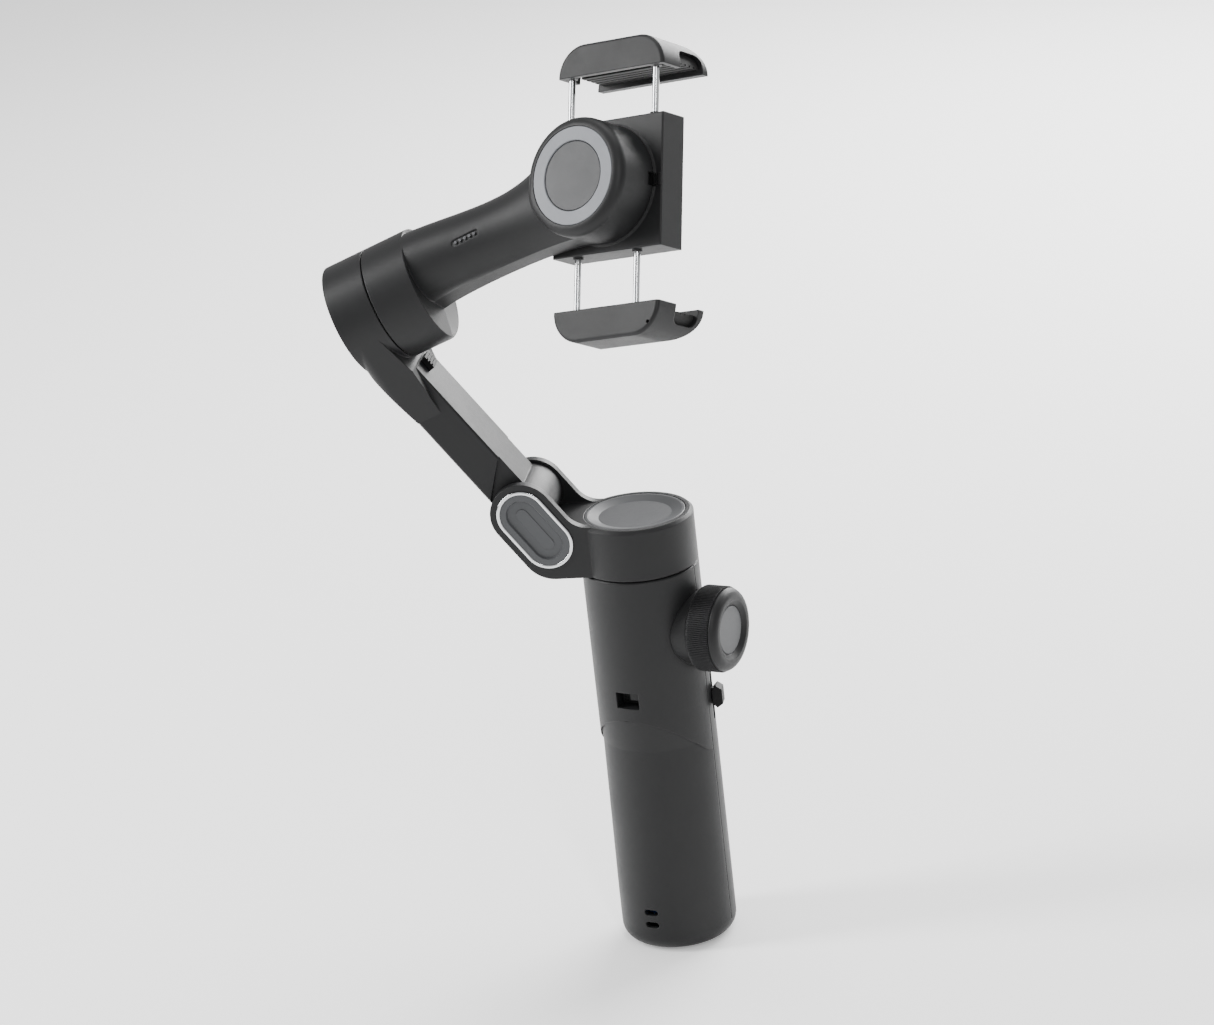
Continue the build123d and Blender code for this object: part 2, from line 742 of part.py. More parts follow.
with BuildPart() as fork:
    with BuildSketch(Plane.XY.offset(pan_base)):
        Circle(handle_radius)
    extrude(amount=pan_height)
    chamfer(fork.edges().group_by(Axis.Z)[-1], 0.9)
    add(ear_block.part)
    add(ear_slot.part, mode=Mode.SUBTRACT)
    # motor space, open below, and the cap's seat
    with BuildSketch(Plane.XY.offset(pan_base)):
        Circle(handle_radius - wall)
    extrude(amount=pan_height - pan_cap_thickness - 0.8, mode=Mode.SUBTRACT)
    with BuildSketch(Plane.XY.offset(pan_top - pan_cap_thickness)):
        Circle(pan_cap_radius)
    extrude(amount=pan_cap_thickness + 1, mode=Mode.SUBTRACT)
    with BuildSketch(Plane.XY.offset(pan_base)):
        Circle(shaft_radius)
    extrude(amount=pan_height, mode=Mode.SUBTRACT)
    # pin bore through both ears
    with BuildSketch(hinge_frame):
        Circle(pin_radius)
    extrude(amount=ear_outer + 1, both=True, mode=Mode.SUBTRACT)
    # stadium pocket in each ear's outer face
    for side in (-1, 1):
        with BuildSketch(hinge_frame.offset(side * (ear_outer - cover_depth))):
            with Locations(Location((0, 0, 0), (0, 0, 90 - arm_lean))):
                with Locations((-cover_length / 2, 0)):
                    SlotCenterToCenter(cover_length, 2 * cover_radius)
        extrude(amount=side * (cover_depth + 1), mode=Mode.SUBTRACT)
save(fork, "fork")

with BuildPart() as pan_cap:
    revolve(
        half_section(
            Plane.XY,
            (0, pan_top - pan_cap_thickness),
            (pan_cap_radius - 0.12, pan_top - pan_cap_thickness),
            (pan_cap_radius - 0.12, pan_top - 0.15),
            (pan_cap_radius - 0.3, pan_top),
            (dish_edge_radius, pan_top),
            (dish_radius, pan_top - dish_depth),
            (0, pan_top - dish_depth),
        ),
        axis=Axis.Z,
    )
save(pan_cap, "pan_cap")

with BuildPart() as hinge_pin:
    with BuildSketch(hinge_frame):
        Circle(pin_radius)
    extrude(amount=ear_outer - cover_depth, both=True)
save(hinge_pin, "hinge_pin")


def cover_sketch(side, radius, height):
    """Stadium along the ear, centred on the cover, at a height above the pocket's floor."""
    plane = hinge_frame.offset(side * (ear_outer - cover_depth + height))
    with BuildSketch(plane) as outline:
        with Locations(Location((0, 0, 0), (0, 0, 90 - arm_lean))):
            with Locations((-cover_length / 2, 0)):
                SlotCenterToCenter(cover_length, 2 * radius)
    return outline.sketch


with BuildPart() as hinge_rims:
    for side in (-1, 1):
        extrude(cover_sketch(side, cover_radius - 0.05, 0), amount=side * (cover_depth + cover_proud))
        extrude(
            cover_sketch(side, cover_radius - rim_width, 0),
            amount=side * (cover_depth + cover_proud),
            mode=Mode.SUBTRACT,
        )
        rim_face = hinge_frame.offset(side * (ear_outer + cover_proud))
        rim_edges = hinge_rims.edges().filter_by_position(
            Axis(rim_face.origin, hinge_frame.z_dir), -0.01, 0.01
        )
        fillet(rim_edges, 0.35)
save(hinge_rims, "hinge_rims")

with BuildPart() as hinge_covers:
    for side in (-1, 1):
        extrude(cover_sketch(side, cover_radius - rim_width - 0.05, 0), amount=side * (cover_depth + 0.35))
        extrude(
            cover_sketch(side, 4.3, 0.9),
            amount=side * 1.2,
            mode=Mode.SUBTRACT,
            taper=-25,
        )
        extrude(cover_sketch(side, 1.8, 0.6), amount=side * 0.5)
save(hinge_covers, "hinge_covers")

# --- Arm ----------------------------------------------------------------------------------------
arm_length = 66.0
arm_face_end = 52.9        # end of the upper face, just short of the tilt motor's seam
facet_start = 18.1
facet_end = 7.6
facet_depth = 1.1
web_reach = 34.0
cup_start = 0.25
cup_round = 4.0
half_thick = arm_thickness / 2

# Flare: the cup's outline drawn down to the arm's width, kept within the arm's thickness.
with BuildPart() as arm_flare:
    with BuildSketch(tilt_frame.offset(-cup_depth)):
        Circle(motor_radius)
        with Locations((-web_reach, 0)):
            Rectangle(0.5, arm_width)
        make_hull()
    extrude(amount=cup_depth - cup_start)
    fillet(arm_flare.edges().group_by(Axis(tilt_frame.origin, tilt_frame.z_dir))[0], cup_round)
    with BuildSketch(arm_frame.offset(-30)):
        with Locations((arm_length / 2 + 20, 0)):
            Rectangle(arm_length + 40, arm_thickness)
    extrude(amount=60, mode=Mode.INTERSECT)

with BuildPart() as arm_end:
    with BuildSketch(arm_frame):
        with Locations((arm_length / 2, 0)):
            Rectangle(arm_length, arm_thickness)
    extrude(amount=arm_width / 2, both=True)
    chamfer(arm_end.edges().filter_by(Axis((0, 0, 0), arm_frame.x_dir)), 0.5)
    # keep the bar's end inside the cup's end face and off the motor's seam
    with BuildSketch(tilt_frame.offset(-cup_depth)):
        Rectangle(200, 60)
    extrude(amount=cup_depth - cup_start, mode=Mode.INTERSECT)

with BuildPart() as arm_bar:
    with BuildSketch(arm_frame):
        with Locations((arm_face_end / 2, 0)):
            Rectangle(arm_face_end, arm_thickness)
    extrude(amount=arm_width / 2, both=True)
    chamfer(arm_bar.edges().filter_by(Axis((0, 0, 0), arm_frame.x_dir)), 0.5)
    # slanted facets beside the hinge
    for side in (-1, 1):
        with BuildSketch(arm_frame.offset(side * (arm_width / 2 - facet_depth))):
            with BuildLine():
                Polyline(
                    (-2, -half_thick - 1),
                    (facet_end, -half_thick - 1),
                    (facet_start, half_thick + 1),
                    (-2, half_thick + 1),
                    close=True,
                )
            make_face()
        extrude(amount=side * 3, mode=Mode.SUBTRACT)

with BuildPart() as main_arm:
    add(arm_bar.part)
    add(arm_end.part)
    add(arm_flare.part)
    with BuildSketch(tilt_frame.offset(-cup_depth)):
        Circle(motor_radius)
    extrude(amount=cup_depth - cup_start)
    with BuildSketch(hinge_frame):
        Circle(barrel_radius)
    extrude(amount=arm_width / 2 - 0.1, both=True)
    with BuildSketch(hinge_frame):
        Circle(bush_radius)
    extrude(amount=ear_outer, both=True, mode=Mode.SUBTRACT)
    # motor space in the cup
    with BuildSketch(tilt_frame.offset(-cup_depth + wall)):
        Circle(motor_radius - wall)
    extrude(amount=cup_depth, mode=Mode.SUBTRACT)
save(main_arm, "main_arm")

with BuildPart() as hinge_bushes:
    for side in (-1, 1):
        bush_frame = Plane(origin=hinge_frame.origin, x_dir=hinge_frame.x_dir, z_dir=side * hinge_frame.z_dir)
        face = arm_width / 2 - 0.1
        revolve(
            half_section(
                bush_frame,
                (pin_radius + running_fit, face - 6),
                (bush_radius, face - 6),
                (bush_radius, face),
                (bush_flange, face),
                (bush_flange, face + 0.25),
                (pin_radius + running_fit, face + 0.25),
            ),
            axis=spin(bush_frame),
        )
save(hinge_bushes, "hinge_bushes")

# --- Tilt motor ---------------------------------------------------------------------------------
tilt_seat = -cup_depth + wall
tilt_bell_end = 5.2
tilt_stator = stator_part(tilt_frame, tilt_seat, tilt_seat + 4.6)
save(tilt_stator, "tilt_stator")
tilt_bearings = bearing_part(tilt_frame, tilt_seat + 0.4, tilt_seat + 7.4)
save(tilt_bearings, "tilt_bearings")
tilt_rotor = rotor_part(tilt_frame, tilt_seat + 3.4, tilt_bell_end)
save(tilt_rotor, "tilt_rotor")
tilt_shaft = shaft_part(tilt_frame, tilt_seat + 0.3, tilt_bell_end + 2.0)
save(tilt_shaft, "tilt_shaft")

# Travel lock on the arm's upper face: a ribbed tab that slides towards the tilt motor's seam.
tilt_lock_reach = 50.9
lock_length = 4.2
lock_width = 5.4
lock_height = 1.9
tilt_lock_frame = at_point(arm_frame, tilt_lock_reach, half_thick, 0)
tilt_lock_plane = Plane(origin=tilt_lock_frame.origin, x_dir=arm_frame.x_dir, z_dir=arm_frame.y_dir)


def lock_part(plane, lift):
    """Lock tab standing on a face: a foot, a body and three ribs across it."""
    with BuildPart() as lock:
        extrude(block(plane.offset(lift), lock_length, lock_width), amount=lock_height - lift)
        for rib in (-1, 0, 1):
            rib_plane = at_point(plane, rib * lock_length / 4, 0, lock_height)
            extrude(block(rib_plane, 0.5, lock_width), amount=0.4)
    return lock


tilt_lock = lock_part(tilt_lock_plane, 0.05)
save(tilt_lock, "tilt_lock")

# --- Roll arm -----------------------------------------------------------------------------------
roll_base = 1.0            # underside of the roll arm above the clamp box's face
housing_radius = 17.25
housing_top = 15.8
housing_round = 2.9
cup_front = 13.5           # front half of the tilt motor's housing
swing_radius = 70.0        # room for the phone to turn about the roll axis
ring_outer = 14.3
ring_inner = 10.1
ring_depth = 1.3
beam_stations = (
    # distance from the cup, sideways offset, half width, side height, crown height
    (9.0, 3.6, 10.6, 7.5, 22.3),
    (26.0, 3.2, 10.4, 7.5, 18.8),
    (46.0, 1.0, 10.4, 7.5, 15.4),
    (60.0, 0.0, 12.0, 8.5, 14.6),
    (70.0, 0.0, 15.2, 11.0, 14.9),
)

lock_offset = -0.4         # the clamp's travel lock, across the phone from the roll axis
lock_keeper = 3.8
base_ring_radius = 17.6
contact_length = 9.4
contact_width = 2.0
contact_pitch = 1.6
contact_slope = 10.0       # the beam's crest falls towards the roll motor
pinion_radius = 4.0
pinion_pin = 1.2

cup_in_clamp = clamp_frame.to_local_coords(tilt_point)
beam_angle = math.degrees(math.atan2(-cup_in_clamp.Y, -cup_in_clamp.X))
beam_frame = turned(at_point(clamp_frame, cup_in_clamp.X, cup_in_clamp.Y), beam_angle)

crest_point = beam_frame.from_local_coords(Vector(37.0, 0.8, 16.3))
crest_slope = math.radians(contact_slope)
contact_frame = Plane(
    origin=crest_point,
    x_dir=beam_frame.x_dir * math.cos(crest_slope) - beam_frame.z_dir * math.sin(crest_slope),
    z_dir=beam_frame.z_dir * math.cos(crest_slope) + beam_frame.x_dir * math.sin(crest_slope),
)

with BuildPart() as beam:
    for distance, offset, half_width, side_height, crown in beam_stations:
        station = Plane(
            origin=beam_frame.from_local_coords(Vector(distance, offset, 0)),
            x_dir=beam_frame.y_dir,
            z_dir=beam_frame.x_dir,
        )
        with BuildSketch(station):
            with BuildLine():
                Line((-half_width, roll_base), (half_width, roll_base))
                Line((half_width, roll_base), (half_width, side_height))
                ThreePointArc((half_width, side_height), (0, crown), (-half_width, side_height))
                Line((-half_width, side_height), (-half_width, roll_base))
            make_face()
    loft()

with BuildPart() as swing_room:
    with BuildSketch(clamp_frame.offset(-60)):
        Circle(swing_radius)
    extrude(amount=60 + roll_base)

with BuildPart() as roll_arm:
    with BuildSketch(tilt_frame.offset(cup_start)):
        Circle(motor_radius)
    extrude(amount=cup_front)
    add(beam.part)
    with BuildSketch(clamp_frame.offset(roll_base)):
        Circle(housing_radius)
    extrude(amount=housing_top - roll_base)
    fillet(
        roll_arm.edges().filter_by(GeomType.CIRCLE).sort_by(Axis(clamp_frame.origin, clamp_frame.z_dir))[-1],
        housing_round,
    )
    add(swing_room.part, mode=Mode.SUBTRACT)
    # motor space beside the tilt seam
    with BuildSketch(tilt_frame.offset(cup_start)):
        Circle(motor_radius - wall)
    extrude(amount=tilt_bell_end - cup_start, mode=Mode.SUBTRACT)
    with BuildSketch(tilt_frame.offset(cup_start)):
        Circle(shaft_radius)
    extrude(amount=tilt_bell_end + 2.0, mode=Mode.SUBTRACT)
    # motor space over the clamp box
    with BuildSketch(clamp_frame.offset(roll_base)):
        Circle(housing_radius - wall)
    extrude(amount=housing_top - roll_base - 3.0, mode=Mode.SUBTRACT)
    # seat for the accent ring and the disc
    with BuildSketch(clamp_frame.offset(housing_top - ring_depth)):
        Circle(ring_outer)
    extrude(amount=ring_depth + 1, mode=Mode.SUBTRACT)
    # recess for the charging contacts on the beam's crest
    contact_slot = stadium(contact_frame, contact_length - contact_width, contact_width / 2)
    extrude(contact_slot, amount=4, mode=Mode.SUBTRACT)
    # keeper notch for the travel lock, in the housing's lower edge
    with BuildSketch(at_point(clamp_frame, housing_radius, lock_offset, roll_base)):
        Rectangle(2.4, lock_keeper)
    extrude(amount=2.0, mode=Mode.SUBTRACT)
save(roll_arm, "roll_arm")

with BuildPart() as contact_pins:
    for pin in range(-2, 3):
        extrude(disc(at_point(contact_frame, pin * contact_pitch, 0), 0.5), amount=0.45)
save(contact_pins, "contact_pins")

ring_seat = housing_top - ring_depth
with BuildPart() as accent_ring:
    revolve(
        half_section(
            clamp_frame,
            (ring_inner + 0.05, ring_seat),
            (ring_outer - 0.05, ring_seat),
            (ring_outer - 0.05, housing_top - 0.2),
            (ring_outer - 0.25, housing_top),
            (ring_inner + 0.25, housing_top),
            (ring_inner + 0.05, housing_top - 0.2),
        ),
        axis=spin(clamp_frame),
    )
save(accent_ring, "accent_ring")

with BuildPart() as motor_disc:
    revolve(
        half_section(
            clamp_frame,
            (0, ring_seat),
            (ring_inner - 0.05, ring_seat),
            (ring_inner - 0.05, housing_top - 0.5),
            (ring_inner - 0.25, housing_top - 0.3),
            (0, housing_top - 0.3),
        ),
        axis=spin(clamp_frame),
    )
save(motor_disc, "motor_disc")

# --- Roll motor ---------------------------------------------------------------------------------
roll_seat_height = housing_top - 3.0
bell_seat = 1.4            # top of the clamp box's boss, which carries the bell
roll_bell_end = roll_seat_height - bell_seat
roll_motor_frame = Plane(
    origin=clamp_frame.from_local_coords(Vector(0, 0, roll_seat_height)),
    x_dir=clamp_frame.x_dir,
    z_dir=-clamp_frame.z_dir,
)
roll_stator = stator_part(roll_motor_frame, 0, 3.4)
save(roll_stator, "roll_stator")
roll_bearings = bearing_part(roll_motor_frame, 0.4, 6.2)
save(roll_bearings, "roll_bearings")
roll_rotor = rotor_part(roll_motor_frame, 2.2, roll_bell_end)
save(roll_rotor, "roll_rotor")
roll_shaft_depth = 0.8     # how far the shaft goes into the clamp box's front
roll_shaft = shaft_part(roll_motor_frame, 0.3, roll_seat_height + roll_shaft_depth)
save(roll_shaft, "roll_shaft")

# --- Clamp box ----------------------------------------------------------------------------------
box_front = 1.2
box_wall = 1.5
box_back = 1.5
rod_radius = 1.0
rod_depth = 2.6            # rod centres behind the box's front face
upper_rods_at = (-15.85, 14.85)
lower_rods_at = (-12.2, 9.3)
jaw_offset = -0.7          # centre of the jaws' opening, across the phone
cavity_end = box_depth - box_back
pin_end = 3.9

with BuildPart() as clamp_box:
    extrude(block(clamp_frame.offset(-box_depth), box_width, box_height), amount=box_depth)
    fillet(clamp_box.edges().group_by(Axis(clamp_frame.origin, clamp_frame.z_dir))[-1], 0.4)
    extrude(disc(clamp_frame, base_ring_radius), amount=0.3)
    extrude(disc(clamp_frame, base_ring_radius - 0.4), amount=0.5)
    # way for the travel lock through the base ring
    with BuildSketch(at_point(clamp_frame, base_ring_radius, lock_offset)):
        Rectangle(5.2, lock_keeper)
    extrude(amount=1, mode=Mode.SUBTRACT)
    extrude(disc(clamp_frame, bell_radius), amount=bell_seat)
    extrude(disc(clamp_frame.offset(-roll_shaft_depth), shaft_radius), amount=3, mode=Mode.SUBTRACT)
    inner = block(clamp_frame.offset(-box_depth), box_width - 2 * box_wall, box_height - 2 * box_wall)
    extrude(inner, amount=box_depth - box_front, mode=Mode.SUBTRACT)
    # guide bushes of the rods, and their holes
    for rods_at, side in ((upper_rods_at, 1), (lower_rods_at, -1)):
        for rod_at in rods_at:
            rod_point = Vector(rod_at, side * (box_height / 2 - 2.5), -rod_depth)
            rod_frame = Plane(
                origin=clamp_frame.from_local_coords(rod_point),
                x_dir=clamp_frame.x_dir,
                z_dir=side * clamp_frame.y_dir,
            )
            extrude(disc(rod_frame, rod_radius + 0.5), amount=3.1)
            extrude(disc(rod_frame, rod_radius + running_fit), amount=4, mode=Mode.SUBTRACT)
save(clamp_box, "clamp_box")

with BuildPart() as clamp_back:
    back_frame = clamp_frame.offset(-box_depth)
    back_panel = block(back_frame, box_width - 2 * box_wall - 0.1, box_height - 2 * box_wall - 0.1)
    extrude(back_panel, amount=box_back)
    extrude(disc(back_frame, pinion_pin), amount=box_depth - pin_end)
save(clamp_back, "clamp_back")

with BuildPart() as back_pad:
    with BuildSketch(clamp_frame.offset(-box_depth)):
        RectangleRounded(31, 30, 3)
    extrude(amount=-0.6)
save(back_pad, "back_pad")

with BuildPart() as spring_drum:
    revolve(tube_section(clamp_frame, pinion_pin, 6.2, -cavity_end, -6.8), axis=spin(clamp_frame))
save(spring_drum, "spring_drum")

# Travel lock on the clamp box: a ribbed tab that slides in under the motor housing.
roll_lock_reach = 18.2
with BuildPart() as roll_lock:
    extrude(block(at_point(clamp_frame, roll_lock_reach, lock_offset, 0.05), 2.4, 3.4), amount=0.5)
    for rib in (-1, 0, 1):
        rib_frame = at_point(clamp_frame, roll_lock_reach + 0.8 * rib, lock_offset, 0.55)
        extrude(block(rib_frame, 0.4, 3.4), amount=0.3)
save(roll_lock, "roll_lock")

# --- Jaw drive ----------------------------------------------------------------------------------
# Both jaws' racks mesh with one pinion, one on each side, so the jaws open and close together.
tooth_count = 10
rack_pitch = 2 * math.pi * pinion_radius / tooth_count
tooth_height = 0.55        # above the pitch line
tooth_root = 0.8           # below the pitch line
tooth_base = 1.25
tooth_tip = 0.5
drive_start = 6.4          # racks and pinion, behind the box's front face
drive_end = 4.2
bar_start = 7.2            # carriage bar, from the roll axis
bar_width = 2.0
rack_back = 2.4
rack_reach = 10.5

with BuildPart() as clamp_pinion:
    with BuildSketch(clamp_frame.offset(-drive_start)):
        Circle(pinion_radius - tooth_root)
        for tooth in range(tooth_count):
            tooth_frame = Location((0, 0, 0), (0, 0, tooth * 360 / tooth_count))
            with Locations(tooth_frame):
                with BuildLine():
                    Polyline(
                        (pinion_radius - tooth_root - 0.3, -tooth_base / 2),
                        (pinion_radius + tooth_height, -tooth_tip / 2),
                        (pinion_radius + tooth_height, tooth_tip / 2),
                        (pinion_radius - tooth_root - 0.3, tooth_base / 2),
                        close=True,
                    )
                make_face()
        Circle(pinion_pin + running_fit, mode=Mode.SUBTRACT)
    extrude(amount=drive_start - drive_end)
save(clamp_pinion, "clamp_pinion")



def rack_part(frame, rods_at):
    """Carriage bar across the jaw's two rods, with a rack beside the pinion. y points outward."""
    first = min(rods_at) - rod_radius - 0.6
    last = max(rods_at) + rod_radius + 0.6
    rack_line = pinion_radius + tooth_root
    with BuildPart() as rack:
        with BuildSketch(frame.offset(-drive_end + 0.4)):
            with Locations(((first + last) / 2, bar_start + bar_width / 2)):
                Rectangle(last - first, bar_width)
        extrude(amount=drive_end - 0.4 - box_front - 0.15)
        with BuildSketch(frame.offset(-drive_start)):
            with Locations((rack_line + rack_back / 2, bar_start + bar_width / 2)):
                Rectangle(rack_back, bar_width)
        extrude(amount=drive_start - drive_end + 0.4)
        with BuildSketch(frame.offset(-drive_start)):
            with Locations((rack_line + rack_back / 2, (bar_start + bar_width - rack_reach) / 2)):
                Rectangle(rack_back, bar_start + bar_width + rack_reach)
            for tooth in range(-4, 4):
                middle = (tooth + 0.5) * rack_pitch
                with BuildLine():
                    Polyline(
                        (rack_line + 0.1, middle - tooth_base / 2),
                        (rack_line + 0.1, middle + tooth_base / 2),
                        (pinion_radius - tooth_height, middle + tooth_tip / 2),
                        (pinion_radius - tooth_height, middle - tooth_tip / 2),
                        close=True,
                    )
                make_face()
        extrude(amount=drive_start - drive_end)
        for rod_at in rods_at:
            with BuildSketch(rod_plane(frame, rod_at, bar_start)):
                Circle(rod_radius)
            extrude(amount=bar_width, mode=Mode.SUBTRACT)
    return rack


def rod_plane(frame, rod_at, start):
    """Plane across a rod at a distance from the roll axis, looking outward."""
    point = frame.from_local_coords(Vector(rod_at, start, -rod_depth))
    return Plane(origin=point, x_dir=frame.x_dir, z_dir=frame.y_dir)


def rods_part(frame, rods_at, end):
    """Both guide rods of a jaw, from the carriage bar to their seats in the jaw."""
    with BuildPart() as rods:
        for rod_at in rods_at:
            extrude(disc(rod_plane(frame, rod_at, bar_start), rod_radius), amount=end - bar_start)
            end_edges = rods.edges().filter_by(GeomType.CIRCLE).sort_by(Axis(frame.origin, frame.y_dir))
            chamfer(end_edges[0:1], 0.2)
    return rods


# --- Jaws ---------------------------------------------------------------------------------------
jaw_depth = 20.9
jaw_round = 9.2            # big round corners of a jaw's outline
jaw_wall = 1.6
jaw_front = 1.8
hook_inner = phone_gap + phone_thickness + 0.3
hook_curve = 9.4
jaw_edge_round = 1.0
notch_start = 8.3
notch_floor = 5.4
pad_start = 8.6
pad_face = 1.6             # the phone's edge, from the jaw's open edge
rod_seat = 5.2


def jaw_outline(frame, half_width, height, corner):
    """D-shaped outline standing on the frame's x axis, with two round corners away from it."""
    with BuildSketch(frame) as outline:
        with BuildLine():
            Polyline(
                (half_width, height - corner),
                (half_width, 0),
                (-half_width, 0),
                (-half_width, height - corner),
            )
            ThreePointArc(
                (-half_width, height - corner),
                (-half_width + corner * (1 - math.sqrt(0.5)), height - corner * (1 - math.sqrt(0.5))),
                (-half_width + corner, height),
            )
            Line((-half_width + corner, height), (half_width - corner, height))
            ThreePointArc(
                (half_width - corner, height),
                (half_width - corner * (1 - math.sqrt(0.5)), height - corner * (1 - math.sqrt(0.5))),
                (half_width, height - corner),
            )
        make_face()
    return outline.sketch


def jaw_side_plane(frame):
    """Plane beside the jaw: local x is depth behind the front face, local y points outward."""
    point = frame.from_local_coords(Vector(-jaw_width, 0, 0))
    return Plane(origin=point, x_dir=-frame.z_dir, z_dir=frame.x_dir)


def jaw_hook_profile(frame):
    """Side profile of the jaw, with the hook curving down behind the phone."""
    with BuildSketch(jaw_side_plane(frame)) as profile:
        with BuildLine():
            Polyline((jaw_depth, 0), (0, 0), (0, jaw_height), (jaw_depth - hook_curve, jaw_height))
            RadiusArc((jaw_depth - hook_curve, jaw_height), (jaw_depth, 0), hook_curve + 0.02)
        make_face()
    return profile.sketch


def jaw_part(frame, rods_at):
    """Hollow jaw with a hook behind the phone, bosses for its rods and a notch in each side."""
    with BuildPart() as jaw:
        extrude(jaw_outline(frame.offset(-jaw_depth), jaw_width / 2, jaw_height, jaw_round), amount=jaw_depth)
        extrude(jaw_hook_profile(frame), amount=2 * jaw_width, mode=Mode.INTERSECT)
        front_edges = jaw.edges().filter_by_position(Axis(frame.origin, frame.z_dir), -0.01, 0.01)
        fillet(front_edges.sort_by(Axis(frame.origin, frame.y_dir))[1:], jaw_edge_round)
        hollow = jaw_outline(
            frame.offset(-hook_inner), jaw_width / 2 - jaw_wall, jaw_height - jaw_wall, jaw_round - jaw_wall
        )
        extrude(hollow, amount=hook_inner - jaw_front, mode=Mode.SUBTRACT)
        # the phone's way in behind the front plate
        with BuildSketch(jaw_side_plane(frame)):
            with Locations(((notch_start + hook_inner) / 2, notch_floor / 2 - 3)):
                RectangleRounded(hook_inner - notch_start, notch_floor + 6, 2.4)
        extrude(amount=2 * jaw_width, mode=Mode.SUBTRACT)
        for rod_at in rods_at:
            boss_frame = rod_plane(frame, rod_at, 0)
            extrude(disc(boss_frame, rod_radius + 0.6), amount=rod_seat + 1.6)
            extrude(disc(boss_frame, rod_radius), amount=rod_seat, mode=Mode.SUBTRACT)
    return jaw


def jaw_pad_part(frame):
    """Soft lining of the jaw, with four grooves across the face that meets the phone's edge."""
    half = jaw_width / 2 - jaw_wall
    with BuildPart() as pad:
        extrude(
            jaw_outline(frame.offset(-hook_inner), half, jaw_height - jaw_wall, jaw_round - jaw_wall),
            amount=hook_inner - pad_start,
        )
        with BuildSketch(jaw_side_plane(frame)):
            with Locations((jaw_depth / 2, pad_face / 2 - 1)):
                Rectangle(jaw_depth, pad_face + 2)
            for groove in range(4):
                with Locations((pad_start + 2.0 + 2.0 * groove, pad_face)):
                    Rectangle(0.6, 1.0)
        extrude(amount=2 * jaw_width, mode=Mode.SUBTRACT)
    return pad


lower_frame = Plane(origin=clamp_frame.origin, x_dir=-clamp_frame.x_dir, z_dir=clamp_frame.z_dir)
jaw_edge = phone_width / 2 - pad_face
upper_edge = jaw_edge + jaw_offset
lower_edge = jaw_edge - jaw_offset
upper_jaw_frame = at_point(clamp_frame, 0, upper_edge)
lower_jaw_frame = at_point(lower_frame, 0, lower_edge)
lower_rods_mirrored = (-lower_rods_at[1], -lower_rods_at[0])

upper_jaw = jaw_part(upper_jaw_frame, upper_rods_at)
save(upper_jaw, "upper_jaw")
upper_rods = rods_part(clamp_frame, upper_rods_at, upper_edge + rod_seat)
save(upper_rods, "upper_rods")
upper_rack = rack_part(clamp_frame, upper_rods_at)
save(upper_rack, "upper_rack")
upper_pad = jaw_pad_part(upper_jaw_frame)
save(upper_pad, "upper_pad")

with BuildPart() as lower_jaw:
    add(jaw_part(lower_jaw_frame, lower_rods_mirrored).part)
    # pin hole near the end of the front plate
    extrude(disc(at_point(lower_jaw_frame, -15.6, 6.0, -1), 0.5), amount=2, mode=Mode.SUBTRACT)
save(lower_jaw, "lower_jaw")
lower_rods = rods_part(lower_frame, lower_rods_mirrored, lower_edge + rod_seat)
save(lower_rods, "lower_rods")
lower_rack = rack_part(lower_frame, lower_rods_mirrored)
save(lower_rack, "lower_rack")
lower_pad = jaw_pad_part(lower_jaw_frame)
save(lower_pad, "lower_pad")
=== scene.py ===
import json
import math

import bpy
from mathutils import Matrix, Vector


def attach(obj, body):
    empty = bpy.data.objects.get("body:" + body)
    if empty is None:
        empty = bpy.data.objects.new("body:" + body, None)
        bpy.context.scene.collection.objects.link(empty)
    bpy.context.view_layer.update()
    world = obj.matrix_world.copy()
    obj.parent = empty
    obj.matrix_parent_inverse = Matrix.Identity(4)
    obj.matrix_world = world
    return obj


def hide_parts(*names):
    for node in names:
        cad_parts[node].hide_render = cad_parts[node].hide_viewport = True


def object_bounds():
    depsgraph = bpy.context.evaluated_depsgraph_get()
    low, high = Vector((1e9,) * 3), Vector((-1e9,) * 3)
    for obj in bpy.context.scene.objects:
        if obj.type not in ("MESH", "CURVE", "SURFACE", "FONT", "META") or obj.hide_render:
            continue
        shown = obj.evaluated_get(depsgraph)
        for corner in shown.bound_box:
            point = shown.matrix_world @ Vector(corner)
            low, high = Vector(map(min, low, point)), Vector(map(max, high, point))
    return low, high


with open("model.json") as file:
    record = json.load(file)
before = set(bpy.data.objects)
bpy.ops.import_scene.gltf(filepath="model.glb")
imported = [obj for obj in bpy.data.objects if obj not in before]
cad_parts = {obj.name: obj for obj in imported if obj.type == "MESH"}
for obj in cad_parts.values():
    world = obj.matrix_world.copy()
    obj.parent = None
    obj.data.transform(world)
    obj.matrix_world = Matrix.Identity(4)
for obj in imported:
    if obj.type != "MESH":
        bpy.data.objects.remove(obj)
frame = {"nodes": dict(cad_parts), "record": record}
cad_low, cad_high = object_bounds()

# --- Material helpers ---------------------------------------------------------------------------
# Lengths are in metres, in the row frame. Every CAD node's object space is the row frame.


bevel_samples = 6


def ramp(tree, value, low, high, dark, light):
    """Colour ramp from dark to light between two values."""
    node = tree.nodes.new("ShaderNodeMapRange")
    node.inputs["From Min"].default_value = low
    node.inputs["From Max"].default_value = high
    node.inputs["To Min"].default_value = dark
    node.inputs["To Max"].default_value = light
    tree.links.new(value, node.inputs["Value"])
    return node.outputs["Result"]


def noise(tree, place, scale, detail, roughness=0.5):
    """Noise texture in object space."""
    node = tree.nodes.new("ShaderNodeTexNoise")
    node.inputs["Scale"].default_value = scale
    node.inputs["Detail"].default_value = detail
    node.inputs["Roughness"].default_value = roughness
    tree.links.new(place, node.inputs["Vector"])
    return node.outputs["Fac"]


